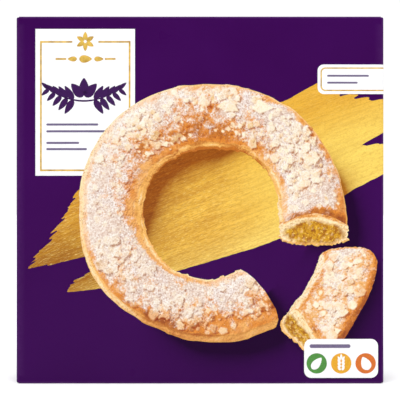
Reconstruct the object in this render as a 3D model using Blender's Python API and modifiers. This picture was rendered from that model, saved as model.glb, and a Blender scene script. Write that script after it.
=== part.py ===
"""A shut folding carton for a ring-shaped pastry, standing on its lower end.

It is one sheet of board, creased into a square tube and closed at the top and
bottom by flaps that hang from the front panel. What is inside can't be seen, so
the carton is one solid out to the board's outer face. Metres, +Z up. The origin
is the middle of the face that it stands on, and the front looks along -Y.
"""

from math import radians

import bmesh
import bpy
from mathutils import Matrix, Vector

# Driving dimensions.
PANEL_WIDTH = 0.260  # of the front and back panels, crease to crease
PANEL_HEIGHT = 0.260  # over both closing flaps
CARTON_DEPTH = 0.050  # of the narrow side panels
BOARD = 0.0005  # thickness of the folding board
CREASE_RADIUS = 0.0012  # of the rounded outside of every fold
PANEL_CROWN = 0.0012  # how far the filled front and back panels bow outwards
CROWN_MARGIN = 0.008  # stretch along each crease that the fold keeps flat

# The closing flaps fold over from the front panel and are glued down.
FLAP_SIDE_GAP = 0.0018  # from a flap's cut side to the side panel's face
FLAP_TIP_GAP = 0.0016  # from a flap's cut tip to the back panel's face
FLAP_ROOT = 0.0050  # how far a flap's block runs down into the tube's

# The tube is glued shut on the left, where the back panel's cut edge shows.
SEAM_WIDTH = 0.0004
SEAM_DEPTH = 0.0003

# Fineness of the mesh.
CROWN_CELLS = 14  # across and up each bowed panel
CREASE_SEGMENTS = 4

SHARP_ANGLE = radians(30)
INK_PURPLE = (0.048, 0.0056, 0.091, 1.0)
TUBE_HEIGHT = PANEL_HEIGHT - 2 * BOARD  # between the closing flaps


def clear_scene():
    for old in list(bpy.data.objects):
        bpy.data.objects.remove(old)


def new_collection(name):
    collection = bpy.data.collections.new(name)
    bpy.context.scene.collection.children.link(collection)
    return collection


def printed_board():
    """The varnished, deep purple face of the board."""
    material = bpy.data.materials.new("printed_board")
    material.use_nodes = True
    shader = material.node_tree.nodes["Principled BSDF"]
    shader.inputs["Base Color"].default_value = INK_PURPLE
    shader.inputs["Roughness"].default_value = 0.38
    shader.inputs["Metallic"].default_value = 0.0
    return material


def block(bm, low, high):
    """A box between two corners, with no scale left on it."""
    low, high = Vector(low), Vector(high)
    place = Matrix.LocRotScale((low + high) / 2, None, high - low)
    return bmesh.ops.create_cube(bm, size=1.0, matrix=place)["verts"]


def mesh_object(name, bm, collection):
    mesh = bpy.data.meshes.new(name)
    bm.to_mesh(mesh)
    bm.free()
    made = bpy.data.objects.new(name, mesh)
    collection.objects.link(made)
    return made


def cut_into_cells(bm, axis, low, high, cells):
    """Slices the mesh square to one axis, so that its panels can bow."""
    for step in range(1, cells):
        place, normal = Vector((0, 0, 0)), Vector((0, 0, 0))
        place[axis] = low + (high - low) * step / cells
        normal[axis] = 1.0
        geometry = bm.verts[:] + bm.edges[:] + bm.faces[:]
        bmesh.ops.bisect_plane(bm, geom=geometry, plane_co=place, plane_no=normal)


def swell(distance_from_middle, half_size):
    """1 in the middle of a panel, easing to 0 where the crease holds it flat."""
    span = half_size - CROWN_MARGIN
    share = max(0.0, 1.0 - abs(distance_from_middle) / span)
    return share * (2.0 - share)


def bow_panels(bm):
    """Pushes the front and back panels outwards, most in their middle."""
    middle = PANEL_HEIGHT / 2
    for vertex in bm.verts:
        across = swell(vertex.co.x, PANEL_WIDTH / 2)
        upwards = swell(vertex.co.z - middle, PANEL_HEIGHT / 2)
        outwards = 1.0 if vertex.co.y > 0 else -1.0
        vertex.co.y += outwards * PANEL_CROWN * across * upwards


def carton_tube(collection):
    """The four panels and the tucked ends under the flaps, as one block."""
    bm = bmesh.new()
    half_width, half_depth = PANEL_WIDTH / 2, CARTON_DEPTH / 2
    top = BOARD + TUBE_HEIGHT
    block(bm, (-half_width, -half_depth, BOARD), (half_width, half_depth, top))
    cut_into_cells(bm, 0, -half_width, half_width, CROWN_CELLS)
    cut_into_cells(bm, 2, BOARD, top, CROWN_CELLS)
    bow_panels(bm)
    tube = mesh_object("carton", bm, collection)
    fold = tube.modifiers.new("rounded creases", "BEVEL")
    fold.width = CREASE_RADIUS
    fold.segments = CREASE_SEGMENTS
    fold.limit_method = "ANGLE"
    fold.angle_limit = SHARP_ANGLE
    return tube


def closing_flap(name, face, inwards, collection):
    """A glued flap: its outer face at height face, folded over from the front."""
    bm = bmesh.new()
    half_width = PANEL_WIDTH / 2 - FLAP_SIDE_GAP
    front, tip = -CARTON_DEPTH / 2, CARTON_DEPTH / 2 - FLAP_TIP_GAP
    root = face + inwards * FLAP_ROOT
    low, high = min(face, root), max(face, root)
    block(bm, (-half_width, front, low), (half_width, tip, high))
    folds = [
        edge
        for edge in bm.edges
        if all(abs(end.co.y - front) < BOARD and abs(end.co.z - face) < BOARD for end in edge.verts)
    ]
    bmesh.ops.bevel(
        bm,
        geom=folds,
        offset=CREASE_RADIUS,
        segments=CREASE_SEGMENTS,
        profile=0.5,
        affect="EDGES",
    )
    return mesh_object(name, bm, collection)


def glued_seam(collection):
    """The slit beside the back panel's cut edge, down the left side panel."""
    bm = bmesh.new()
    side = -PANEL_WIDTH / 2
    behind = CARTON_DEPTH / 2 - CREASE_RADIUS - BOARD
    start, end = 2 * CREASE_RADIUS, PANEL_HEIGHT - 2 * CREASE_RADIUS
    block(
        bm,
        (side - SEAM_DEPTH, behind - SEAM_WIDTH, start),
        (side + SEAM_DEPTH, behind, end),
    )
    return mesh_object("glued_seam", bm, collection)


def combine(target, helper, operation):
    """Joins or cuts with a helper, which then stays out of sight."""
    modifier = target.modifiers.new(helper.name, "BOOLEAN")
    modifier.operation = operation
    modifier.object = helper
    helper.hide_render = True
    helper.display_type = "WIRE"


def main():
    clear_scene()
    parts = new_collection("pastry_carton")
    helpers = new_collection("helpers")
    carton = carton_tube(parts)
    combine(carton, closing_flap("top_flap", PANEL_HEIGHT, -1, helpers), "UNION")
    combine(carton, closing_flap("bottom_flap", 0.0, 1, helpers), "UNION")
    combine(carton, glued_seam(helpers), "DIFFERENCE")
    carton.data.materials.append(printed_board())
    carton.data.shade_smooth()
    carton.data.set_sharp_from_angle(angle=SHARP_ANGLE)


main()
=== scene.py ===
# %% [markdown]
# # A printed pastry carton
# This lesson dresses a shut folding carton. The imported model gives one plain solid, and everything that is
# added here keeps to its place and size: a finer board with real folds and cut edges, and then the print,
# one film of ink after another. The contents are only pictured on the front, so they stay flat.

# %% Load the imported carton
import math
from contextlib import contextmanager
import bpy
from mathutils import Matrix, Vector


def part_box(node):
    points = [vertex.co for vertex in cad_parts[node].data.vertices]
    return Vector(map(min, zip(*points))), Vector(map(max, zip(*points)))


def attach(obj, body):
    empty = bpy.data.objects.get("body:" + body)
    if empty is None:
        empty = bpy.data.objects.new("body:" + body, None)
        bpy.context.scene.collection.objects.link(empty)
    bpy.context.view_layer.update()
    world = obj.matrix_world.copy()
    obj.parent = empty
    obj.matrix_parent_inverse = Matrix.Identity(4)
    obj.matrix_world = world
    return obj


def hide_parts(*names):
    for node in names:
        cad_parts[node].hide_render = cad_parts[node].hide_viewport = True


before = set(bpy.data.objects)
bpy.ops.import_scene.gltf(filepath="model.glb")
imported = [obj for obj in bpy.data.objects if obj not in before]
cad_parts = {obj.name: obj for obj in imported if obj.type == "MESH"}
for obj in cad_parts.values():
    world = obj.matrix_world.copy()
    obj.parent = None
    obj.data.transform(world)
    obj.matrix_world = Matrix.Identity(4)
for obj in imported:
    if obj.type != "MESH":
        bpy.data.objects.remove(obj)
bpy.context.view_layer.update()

from types import SimpleNamespace

import bpy
import numpy as np
from mathutils import Vector

# %% [markdown]
# ## The carton's sizes
# The panel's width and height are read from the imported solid. Its depth there includes how far the filled
# panels bow outwards, so the depth of the narrow sides is named here, and the bow follows from it. All
# places in the print are in millimetres, to the right of the front panel's middle and up from its foot.

# %% Name the sizes
MM = 0.001
low, high = (Vector(corner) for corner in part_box("carton"))
WIDTH = high.x - low.x
HEIGHT = high.z - low.z
DEPTH = 50 * MM
BOARD = 0.5 * MM
FOLD = 1.2 * MM  # radius of the outside of a crease
FLAT_MARGIN = 8 * MM  # the stretch beside a crease that doesn't bow
CROWN = (high.y - low.y - DEPTH) / 2
FILM = 0.02 * MM  # height of one layer of the print above the next
print(f"panel {WIDTH:.3f} x {HEIGHT:.3f} m, bowed out by {CROWN / MM:.1f} mm")

# %% [markdown]
# ## The camera
# The photograph looks straight at the front panel, from far enough away that no side shows. The panel's
# share of the picture and the lens settle the distance. A camera could be placed by eye, but a worked-out
# place keeps the outline exact.

# %% Place the camera
PICTURE = 400  # pixels along a side of the photograph
PANEL_IN_PICTURE = 367.3  # pixels of it that the front panel takes up
LENS = 100
SENSOR = 36

view_width = WIDTH * PICTURE / PANEL_IN_PICTURE
camera_data = bpy.data.cameras.new("camera")
camera_data.lens = LENS
camera_data.sensor_width = SENSOR
camera = bpy.data.objects.new("camera", camera_data)
camera.location = (0, -DEPTH / 2 - view_width * LENS / SENSOR, HEIGHT / 2)
camera.rotation_euler = (math.radians(90), 0, 0)
bpy.context.scene.collection.objects.link(camera)
bpy.context.scene.camera = camera
print(f"camera {-camera.location.y:.3f} m in front of the carton's middle")

# %% [markdown]
# ## Helpers for working by hand in code
# An operator acts on whatever is selected. These helpers clear the selection, open one piece with chosen
# faces or edges selected, and cut a whole piece square to an axis, which is how a flat shape gets enough
# points to follow a bend.


# %% Select, edit and cut
def select_only(piece=None):
    """Leaves object mode on, with one piece selected or none."""
    if bpy.context.object and bpy.context.object.mode != "OBJECT":
        bpy.ops.object.mode_set(mode="OBJECT")
    bpy.ops.object.select_all(action="DESELECT")
    if piece:
        piece.select_set(True)
        bpy.context.view_layer.objects.active = piece


@contextmanager
def editing(piece, kind="polygons", chosen=lambda part: True):
    """Opens a piece in edit mode. kind is vertices, edges or polygons, and chosen tests one of them."""
    select_only(piece)
    kinds = ("vertices", "edges", "polygons")
    bpy.context.tool_settings.mesh_select_mode = [kind == each for each in kinds]
    for each in kinds:
        for part in getattr(piece.data, each):
            part.select = each == kind and chosen(part)
    bpy.ops.object.mode_set(mode="EDIT")
    yield
    select_only()


def cut_square(piece, axis, places):
    """Cuts right through a piece at each place along an axis: 0 is X, 1 is Y and 2 is Z."""
    with editing(piece):
        for place in places:
            point, direction = Vector((0, 0, 0)), Vector((0, 0, 0))
            point[axis], direction[axis] = place, 1
            bpy.ops.mesh.select_all(action="SELECT")
            bpy.ops.mesh.bisect(plane_co=point, plane_no=direction)


def apply_modifier(piece, kind, **settings):
    """Adds a modifier, sets it and applies it."""
    select_only(piece)
    modifier = piece.modifiers.new(kind.lower(), kind)
    for name, value in settings.items():
        setattr(modifier, name, value)
    bpy.ops.object.modifier_apply(modifier=modifier.name)


def smooth(piece, angle=30):
    """Shades a piece smooth, and sharp where its faces meet at more than the angle."""
    select_only(piece)
    bpy.ops.object.shade_smooth_by_angle(angle=math.radians(angle))


# %% [markdown]
# ## Helpers for materials
# A print shop names a colour by how it looks, so ink() takes the three numbers that a screen shows and
# turns them into the linear light that Blender mixes. The other helpers each add one node to the tree that
# is on the bench. Sums, blends of two colours and tints are the simplest of them.

# %% Mix inks and nodes
bench = SimpleNamespace(material=None, tree=None)


def ink(red, green, blue):
    """A colour as a screen shows it, 0 to 255, as linear light."""
    shares = [value / 255 for value in (red, green, blue)]
    linear = [share / 12.92 if share <= 0.04045 else ((share + 0.055) / 1.055) ** 2.4 for share in shares]
    return (*linear, 1.0)


def feed(socket, value):
    """Gives a socket a value, or the output of another node."""
    if isinstance(value, bpy.types.NodeSocket):
        bench.tree.links.new(value, socket)
    else:
        socket.default_value = value


def add_node(kind, inputs=None, **settings):
    made = bench.tree.nodes.new(kind)
    for name, value in settings.items():
        setattr(made, name, value)
    for name, value in (inputs or {}).items():
        feed(made.inputs[name], value)
    return made


def calc(operation, first, second):
    return add_node("ShaderNodeMath", {0: first, 1: second}, operation=operation).outputs[0]


def times(first, second):
    return calc("MULTIPLY", first, second)


def blend(amount, first, second, how="MIX"):
    colours = {0: amount, 6: first, 7: second}
    return add_node("ShaderNodeMix", colours, data_type="RGBA", blend_type=how).outputs[2]


def tinted(colour, tint):
    """A colour with another one multiplied over it."""
    return blend(1.0, colour, tint, "MULTIPLY")


print("middle grey on a screen is", round(ink(128, 128, 128)[0], 3), "as linear light")

# %% [markdown]
# With the next helpers a finish below reads as a recipe: noise for mottling, a soft step for a border, a
# coat that lays one colour over another where some value passes a border, and fields that were painted
# on a piece's points. New materials and node groups start here too, each put on the bench.


# %% Coat, mottle and start a material
NODES_TO_MM = 1 / MM  # a material reads places in metres


def soft_step(value, start, end, low=0.0, high=1.0):
    """Eases from low to high as a value goes from start to end."""
    inputs = {0: value, 1: start, 2: end, 3: low, 4: high}
    return add_node("ShaderNodeMapRange", inputs, interpolation_type="SMOOTHSTEP").outputs[0]


def coat(base, colour, value, start, end, strength=1.0):
    """Lays a colour over a base, from none of it where a value is at start to strength where it is at end."""
    return blend(soft_step(value, start, end, 0.0, strength), base, colour)


def mottle(where, scale, detail=3.0, roughness=0.55):
    """Cloudy noise from 0 to 1, with so many lumps to the millimetre."""
    inputs = {"Vector": where, "Scale": scale, "Detail": detail, "Roughness": roughness}
    return add_node("ShaderNodeTexNoise", inputs).outputs[0]


def mapped(where, **changes):
    """Places turned or stretched, so that a noise read there is too."""
    return add_node("ShaderNodeMapping", {"Vector": where, **changes}).outputs[0]


def sides_of(where):
    return add_node("ShaderNodeSeparateXYZ", {0: where}).outputs


def painted(name):
    """A field that was painted on the piece's points."""
    return add_node("ShaderNodeAttribute", attribute_name=name).outputs["Fac"]


def new_finish(name, specular=0.3):
    """Puts a new material on the bench. Returns its places, in millimetres on the piece."""
    bench.material = bpy.data.materials.new(name)
    bench.material.use_nodes = True
    bench.tree = bench.material.node_tree
    bench.tree.nodes["Principled BSDF"].inputs["Specular IOR Level"].default_value = specular
    place = {0: add_node("ShaderNodeTexCoord").outputs["Object"], "Scale": NODES_TO_MM}
    return add_node("ShaderNodeVectorMath", place, operation="SCALE").outputs[0]


def new_group(name, inputs, outputs):
    """Puts a new node group on the bench. Its sockets are given as names, each with its kind."""
    bench.tree = bpy.data.node_groups.new(name, "ShaderNodeTree")
    for in_out, sockets in (("INPUT", inputs), ("OUTPUT", outputs)):
        for title, kind in sockets.items():
            bench.tree.interface.new_socket(title, in_out=in_out, socket_type="NodeSocket" + kind)
    return bench.tree, add_node("NodeGroupInput").outputs, add_node("NodeGroupOutput").inputs


print("materials so far:", len(bpy.data.materials))


# %% [markdown]
# ## The varnish
# Every ink on a carton lies under the same satin varnish. It isn't perfectly even: the board's tooth
# shows through it as a very fine grain, and its sheen drifts a little. It could be copied into each
# material, but one node group keeps all the inks alike, and each ink says how much tooth shows.

# %% Build the varnish group
SHEEN_DRIFT = 0.12
varnish, given, made = new_group(
    "satin_varnish",
    {"Place": "Vector", "Gloss": "Float", "Tooth": "Float"},
    {"Roughness": "Float", "Height": "Float"},
)
drift = calc("SUBTRACT", mottle(given["Place"], 0.06, 2.0), 0.5)
feed(made["Roughness"], calc("ADD", times(drift, SHEEN_DRIFT), given["Gloss"]))
fine_tooth = times(mottle(given["Place"], 4.0, 2.0), 0.4)
feed(made["Height"], times(calc("ADD", fine_tooth, mottle(given["Place"], 0.5, 1.0)), given["Tooth"]))
print("varnish group has", len(varnish.nodes), "nodes")


def finish_ink(where, colour, gloss, tooth=1.0, bump=0.012):
    """Gives the material on the bench its colour, and lays the varnish over it. bump is in millimetres."""
    coated = add_node("ShaderNodeGroup", {"Place": where, "Gloss": gloss, "Tooth": tooth}, node_tree=varnish)
    relief = add_node("ShaderNodeBump", {"Height": coated.outputs["Height"], "Distance": bump * MM})
    sockets = bench.tree.nodes["Principled BSDF"].inputs
    feed(sockets["Base Color"], colour)
    feed(sockets["Roughness"], coated.outputs["Roughness"])
    feed(sockets["Normal"], relief.outputs[0])
    return bench.material


# %% [markdown]
# ## How the blank folds
# A carton is printed flat and folded afterwards, so every printed shape here is first drawn on the flat
# blank too. fold_blank() then says where a point lies on the folded carton: on the front panel, round a
# crease, along a side panel or on the back. It adds the bow of the filled panels, and lifts each ink by
# its own thin layer. A Shrinkwrap modifier could do the same, but this also carries a print round a fold.

# %% Fold the flat blank
HALF_FLAT = WIDTH / 2 - FOLD
FOLD_ARC = math.pi / 2 * FOLD
SIDE_FLAT = DEPTH - 2 * FOLD
BACK_MIDDLE = HALF_FLAT + FOLD_ARC + SIDE_FLAT + FOLD_ARC + HALF_FLAT
RIPPLE = 0.05 * MM


def swell(distance, half):
    """1 in the middle of a panel, easing to 0 where a crease holds it flat."""
    share = max(0.0, 1.0 - abs(distance) / (half - FLAT_MARGIN))
    return share * (2.0 - share)


def bow(x, z):
    """How far the front and back panels stand out, with the board's faint ripple."""
    crown = swell(x, WIDTH / 2) * swell(z - HEIGHT / 2, HEIGHT / 2)
    ripple = math.sin(x * 41 + 1.3) * math.sin(z * 33 + 0.4)
    return crown * (CROWN + RIPPLE * (ripple - 1))


def fold_blank(across, up, lift):
    """Where a point of the flat blank lies once it is folded. Its back half mirrors its front half."""
    side, left = math.copysign(1.0, across), abs(across)
    on_back = left > BACK_MIDDLE / 2
    if on_back:
        left = BACK_MIDDLE - left
    x = WIDTH / 2 + lift
    y = DEPTH / 2 - FOLD - (left - FOLD_ARC - HALF_FLAT)
    if left <= HALF_FLAT:
        x = left
        y = DEPTH / 2 + bow(side * left, up) + lift
    elif left <= HALF_FLAT + FOLD_ARC:
        turn = (left - HALF_FLAT) / FOLD
        x = HALF_FLAT + (FOLD + lift) * math.sin(turn)
        y = DEPTH / 2 - FOLD + (FOLD + lift) * math.cos(turn)
    return Vector((side * x, y if on_back else -y, up))


print(f"the blank is {2 * BACK_MIDDLE:.3f} m round")

# %% [markdown]
# ## Makers for printed shapes
# Four kinds of flat shape are enough for the whole print. A plate is a rectangle whose corners may be
# rounded. An outline is a plate with its middle taken out. A blob is a round shape whose rim follows a
# rule. Each starts as one of Blender's primitives, lying on the floor plane.


# %% Draw plates, outlines and blobs
def named(name):
    piece = bpy.context.object
    piece.name = name
    piece.data.name = name
    return piece


def plate(name, left, bottom, right, top, corner=0.0):
    """A rectangle between four sides in millimetres, with round corners of the given radius."""
    select_only()
    middle = ((left + right) / 2 * MM, (bottom + top) / 2 * MM, 0)
    bpy.ops.mesh.primitive_plane_add(size=1, location=middle)
    piece = named(name)
    piece.scale = ((right - left) * MM, (top - bottom) * MM, 1)
    bpy.ops.object.transform_apply(location=True, rotation=True, scale=True)
    if corner:
        with editing(piece, "vertices"):
            bpy.ops.mesh.bevel(affect="VERTICES", offset=corner * MM, segments=8)
    return piece


def outline(name, left, bottom, right, top, width, corner=0.0):
    """A plate's border alone, of the given width in millimetres."""
    piece = plate(name, left, bottom, right, top, corner)
    with editing(piece):
        bpy.ops.mesh.inset(thickness=width * MM)
        bpy.ops.mesh.delete(type="FACE")
    return piece


def blob(name, corners, rim):
    """A filled circle whose rim point at each angle moves to rim(angle), in millimetres."""
    select_only()
    bpy.ops.mesh.primitive_circle_add(vertices=corners, radius=1, fill_type="NGON")
    piece = named(name)
    for vertex in piece.data.vertices:
        angle = math.atan2(vertex.co.y, vertex.co.x)
        vertex.co.xy = [value * MM for value in rim(angle)]
    return piece


print("plates, outlines and blobs can be drawn")

# %% [markdown]
# The fourth kind is the strip: a grid whose points are moved to places worked out beforehand. It can
# carry fields, one number for each point, for its material to read. That is how a picture without an
# image gets soft borders, shadows and light.


# %% Draw strips
def spread(along, across, along_ends=(0, 1), across_ends=(0, 1)):
    """Two arrays of even places on a grid with so many cells along and across."""
    ends = np.linspace(*along_ends, along + 1), np.linspace(*across_ends, across + 1)
    return np.meshgrid(*ends, indexing="ij")


def add_field(piece, name, values):
    """Stores a number for each point of a piece, for its material to read."""
    layer = piece.data.attributes.new(name, "FLOAT", "POINT")
    layer.data.foreach_set("value", np.ascontiguousarray(values, dtype=np.float32))


def strip(name, x, z, **fields):
    """A grid of cells with its points at the places in two arrays, in millimetres, and its fields."""
    along, across = x.shape[0] - 1, x.shape[1] - 1
    select_only()
    bpy.ops.mesh.primitive_grid_add(x_subdivisions=along, y_subdivisions=across, size=2)
    piece = named(name)
    spots = np.empty(len(piece.data.vertices) * 3)
    piece.data.vertices.foreach_get("co", spots)
    spots = spots.reshape(-1, 3)
    i = np.rint((spots[:, 0] + 1) / 2 * along).astype(int)
    j = np.rint((spots[:, 1] + 1) / 2 * across).astype(int)
    spots[:, 0], spots[:, 1] = x[i, j] * MM, z[i, j] * MM
    piece.data.vertices.foreach_set("co", spots.ravel())
    for field, values in fields.items():
        add_field(piece, field, values[i, j])
    return piece


print("a grid of 2 by 3 cells has", spread(2, 3)[0].size, "points")

# %% [markdown]
# ## Laying a shape on the carton
# A drawn shape is cut every few millimetres, and more finely where it goes round a crease, so that it can
# bend with the board. Its points are then folded into place. Solidify gives the ink a little thickness
# towards the board, so that each film is a closed shape and none of it floats.

# %% Lay a print on the board
CUT_STEP = 9 * MM
CREASE_CUTS = 6
FILM_DEPTH = 1.6 * FILM
# How many layers of ink above the board each part of the print lies
SHADE, STROKE, LABEL, LINE, CUT_FACE, RING, LOOSE_PIECE = 1, 2, 3, 4, 5, 6, 7
SIGN_LABEL, SIGN, SIGN_MARK = 9, 10, 11


def cuts_between(start, end):
    """Places to cut between two ends, on a grid that all pieces share."""
    first = math.ceil(start / CUT_STEP)
    return [step * CUT_STEP for step in range(first, math.floor(end / CUT_STEP) + 1)]


def crease_cuts(start, end):
    """Extra cuts across each crease that lies between two ends."""
    starts = [HALF_FLAT, HALF_FLAT + FOLD_ARC + SIDE_FLAT]
    places = [first + FOLD_ARC * step / CREASE_CUTS for first in starts for step in range(CREASE_CUTS + 1)]
    places += [-place for place in places]
    return [place for place in places if start < place < end]


def finish_piece(piece, *finishes):
    """Gives a piece its materials, and puts it on the carton's one body."""
    piece.data.materials.clear()
    for finish in finishes:
        piece.data.materials.append(finish)
    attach(piece, "root")
    return piece


def lay(piece, layer, finish, cut=True):
    """Folds a flat shape onto the carton, so many ink layers up, and gives it its finish."""
    if cut:
        for axis in (0, 1):
            places = [vertex.co[axis] for vertex in piece.data.vertices]
            ends = min(places), max(places)
            cut_square(piece, axis, cuts_between(*ends) + (crease_cuts(*ends) if axis == 0 else []))
    if sum(face.normal.z * face.area for face in piece.data.polygons) < 0:
        with editing(piece):
            bpy.ops.mesh.flip_normals()
    for vertex in piece.data.vertices:
        vertex.co = fold_blank(vertex.co.x, vertex.co.y, layer * FILM + vertex.co.z)
    apply_modifier(piece, "SOLIDIFY", thickness=FILM_DEPTH, offset=-1)
    smooth(piece)
    return finish_piece(piece, finish)


print("a film of ink is", round(FILM_DEPTH / MM, 3), "mm thick")

# %% [markdown]
# ## The board
# The real carton is one sheet of board, creased, wrapped into a tube and glued, with flaps folded over
# each end. Here the tube is a block that is cut into cells, bowed, and bevelled along its creases. Each
# end flap is a thinner block that is joined on, so its cut edges stand up from the tucked flaps below.
# Modelling every hidden flap would add nothing that can be seen.

# %% Model the tube
CELL = 6.5 * MM
NEAR = 0.02 * MM
TUBE_FOOT, TUBE_TOP = BOARD, HEIGHT - BOARD
DEPTH_CELLS = 8


def block(name, corner, opposite):
    """A block between two corners, from a cube primitive."""
    select_only()
    first, last = Vector(corner), Vector(opposite)
    bpy.ops.mesh.primitive_cube_add(size=1, location=(first + last) / 2)
    piece = named(name)
    piece.scale = [abs(side) for side in last - first]
    bpy.ops.object.transform_apply(location=True, rotation=True, scale=True)
    return piece


def round_folds(piece, is_fold):
    """Rounds the edges of a piece whose two ends and middle all pass a test."""

    def chosen(edge):
        ends = [piece.data.vertices[index].co for index in edge.vertices]
        return all(is_fold(point) for point in (*ends, (ends[0] + ends[1]) / 2))

    with editing(piece, "edges", chosen):
        bpy.ops.mesh.bevel(offset=FOLD, segments=6, affect="EDGES")


def on_crease(point):
    """Whether a point lies on two of the tube's faces or more."""
    past_end = max(point.z - TUBE_TOP, TUBE_FOOT - point.z)
    gaps = (abs(point.x) - WIDTH / 2, abs(point.y) - DEPTH / 2, past_end)
    return sum(abs(gap) < NEAR for gap in gaps) > 1


carton = block("carton_board", (-WIDTH / 2, -DEPTH / 2, TUBE_FOOT), (WIDTH / 2, DEPTH / 2, TUBE_TOP))
columns = round(WIDTH / CELL)
cut_square(carton, 0, [-WIDTH / 2 + WIDTH * step / columns for step in range(1, columns)])
cut_square(carton, 2, [TUBE_FOOT + (TUBE_TOP - TUBE_FOOT) * step / columns for step in range(1, columns)])
cut_square(carton, 1, [DEPTH * (step / DEPTH_CELLS - 0.5) for step in range(1, DEPTH_CELLS)])
for vertex in carton.data.vertices:
    if abs(abs(vertex.co.y) - DEPTH / 2) < NEAR:
        vertex.co.y += math.copysign(bow(vertex.co.x, vertex.co.z), vertex.co.y)
round_folds(carton, on_crease)
print("tube:", len(carton.data.polygons), "faces")

# %% [markdown]
# The two end flaps hang from the front panel by round folds, and stop a little short of the other three
# sides. The glued seam is a fine slit beside the back panel's cut edge. Booleans join all three to the
# tube, which keeps the board one closed shape.

# %% Join the end flaps and cut the seam
FLAP_SIDE_GAP = 1.8 * MM
FLAP_TIP_GAP = 1.6 * MM
FLAP_ROOT = 5 * MM
SEAM_WIDTH = 0.4 * MM
SEAM_DEPTH = 0.3 * MM
SEAM_BACK = DEPTH / 2 - FOLD - BOARD


def end_flap(name, face, inwards):
    """A glued flap whose outer side is at height face."""
    half = WIDTH / 2 - FLAP_SIDE_GAP
    front, tip = -DEPTH / 2, DEPTH / 2 - FLAP_TIP_GAP
    flap = block(name, (-half, front, face), (half, tip, face + inwards * FLAP_ROOT))
    round_folds(flap, lambda point: abs(point.y - front) < NEAR and abs(point.z - face) < NEAR)
    return flap


seam_low = (-WIDTH / 2 - SEAM_DEPTH, SEAM_BACK - SEAM_WIDTH, 2 * FOLD)
seam_high = (-WIDTH / 2 + SEAM_DEPTH, SEAM_BACK, HEIGHT - 2 * FOLD)
for operation, helper in (
    ("UNION", end_flap("upper_flap", HEIGHT, -1)),
    ("UNION", end_flap("lower_flap", 0.0, 1)),
    ("DIFFERENCE", block("glued_seam", seam_low, seam_high)),
):
    apply_modifier(carton, "BOOLEAN", operation=operation, object=helper)
    bpy.data.objects.remove(helper)
smooth(carton)
print("board:", len(carton.data.polygons), "faces")

# %% [markdown]
# ## Noise that a whole picture can share
# A baker's work is uneven at every size, from a ring that isn't quite round to single grains of sugar. All
# of it comes from one smooth noise, read at different sizes. It works on whole arrays of places at once,
# which keeps a picture with tens of thousands of points quick to paint.

# %% Make even things uneven
LATTICE = 256


def cloud(x, z, size, seed):
    """Smooth noise from 0 to 1, with lumps of about the given size in millimetres."""
    lattice = np.random.default_rng(seed).random((LATTICE, LATTICE))
    u, v = np.asarray(x) / size + seed * 0.37, np.asarray(z) / size + seed * 0.71
    i, j = np.floor(u).astype(int), np.floor(v).astype(int)
    a, b = ((3 - 2 * part) * part**2 for part in (u - i, v - j))

    def corner(right, above):
        return lattice[(i + right) % LATTICE, (j + above) % LATTICE]

    lower = corner(0, 0) * (1 - a) + corner(1, 0) * a
    upper = corner(0, 1) * (1 - a) + corner(1, 1) * a
    return lower * (1 - b) + upper * b


def lumpy(x, z, size, seed, octaves=3):
    """Noise from 0 to 1 in which each finer layer is half as strong."""
    total = sum(cloud(x, z, size / 2**step, seed + step) * 0.5**step for step in range(octaves))
    return total / sum(0.5**step for step in range(octaves))


def ease(value, start, end):
    """Goes from 0 to 1, softly, as a value goes from start to end, which may be the smaller one."""
    share = np.clip((value - start) / (end - start), 0.0, 1.0)
    return share * share * (3 - 2 * share)


def read_off(table, place):
    """Reads values off a table of places and values, in straight lines between them."""
    return np.interp(place, list(table), list(table.values()))


def curve(points, share):
    """A smooth curve through a few points, at shares of its length from 0 to 1."""
    points = np.array(points, float)
    spans = len(points) - 1
    at = np.clip(share, 0.0, 1.0) * spans
    first = np.minimum(at.astype(int), spans - 1)
    t = (at - first)[..., None]
    before, start = points[np.maximum(first - 1, 0)], points[first]
    end, after = points[first + 1], points[np.minimum(first + 2, spans)]
    leave, arrive = (end - before) / 2, (after - start) / 2
    straight = start * (2 * t**3 - 3 * t**2 + 1) + end * (3 * t**2 - 2 * t**3)
    return straight + leave * (t**3 - 2 * t**2 + t) + arrive * (t**3 - t**2)


print("noise spread:", round(float(np.std(lumpy(np.arange(500.0), 0.0, 5.0, 3))), 3))

# %% [markdown]
# ## The picture's plan
# The front shows a ring-shaped pastry with a piece cut out of it, lying over a stroke of gold. Its outer
# and inner edges are rules of angle, each a little uneven. Angles start at the right and rise to the left,
# over the top of the ring. The picture's light comes from the upper left.

# %% Plan the pictured ring
RING_X, RING_Z = 9.4, 121.6
# Distances from the ring's middle to its edges, at every twelfth of a turn from 30 degrees below the right
OUTER_REACHES = (93.5, 94.2, 91.6, 91.2, 90.2, 93.8, 96.4, 95.3, 95.8, 91.9, 92.2, 92.0, 92.0)
INNER_REACHES = (47.0, 46.6, 47.4, 47.2, 44.2, 46.4, 49.5, 49.4, 49.0, 49.3, 47.4, 45.2, 46.0)
# Where the ring starts and ends, in degrees, by the share across it from the hole
RING_STARTS = {0: -9, 0.12: -7.2, 0.3: -2.8, 0.55: -0.6, 0.77: -2.2, 1: -5.5}
RING_ENDS = {0: 295.5, 0.08: 299, 0.22: 301.6, 0.45: 303.2, 0.77: 302.8, 0.92: 301.2, 1: 298.5}
CUT_FACE_TURN = 13
TO_LIGHT = (-0.7, 0.71)


def around(angle, lumps, seed):
    """Unevenness from -1 to 1 along the ring, with so many lumps to a full turn."""
    return 2 * cloud(angle * lumps / math.tau, 0.5, 1.0, seed) - 1


def facing(angle, degrees, power=1.0):
    """1 where an angle faces a direction in degrees, easing to 0 a quarter turn away."""
    return np.maximum(0.0, np.cos(angle - math.radians(degrees))) ** power


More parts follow.
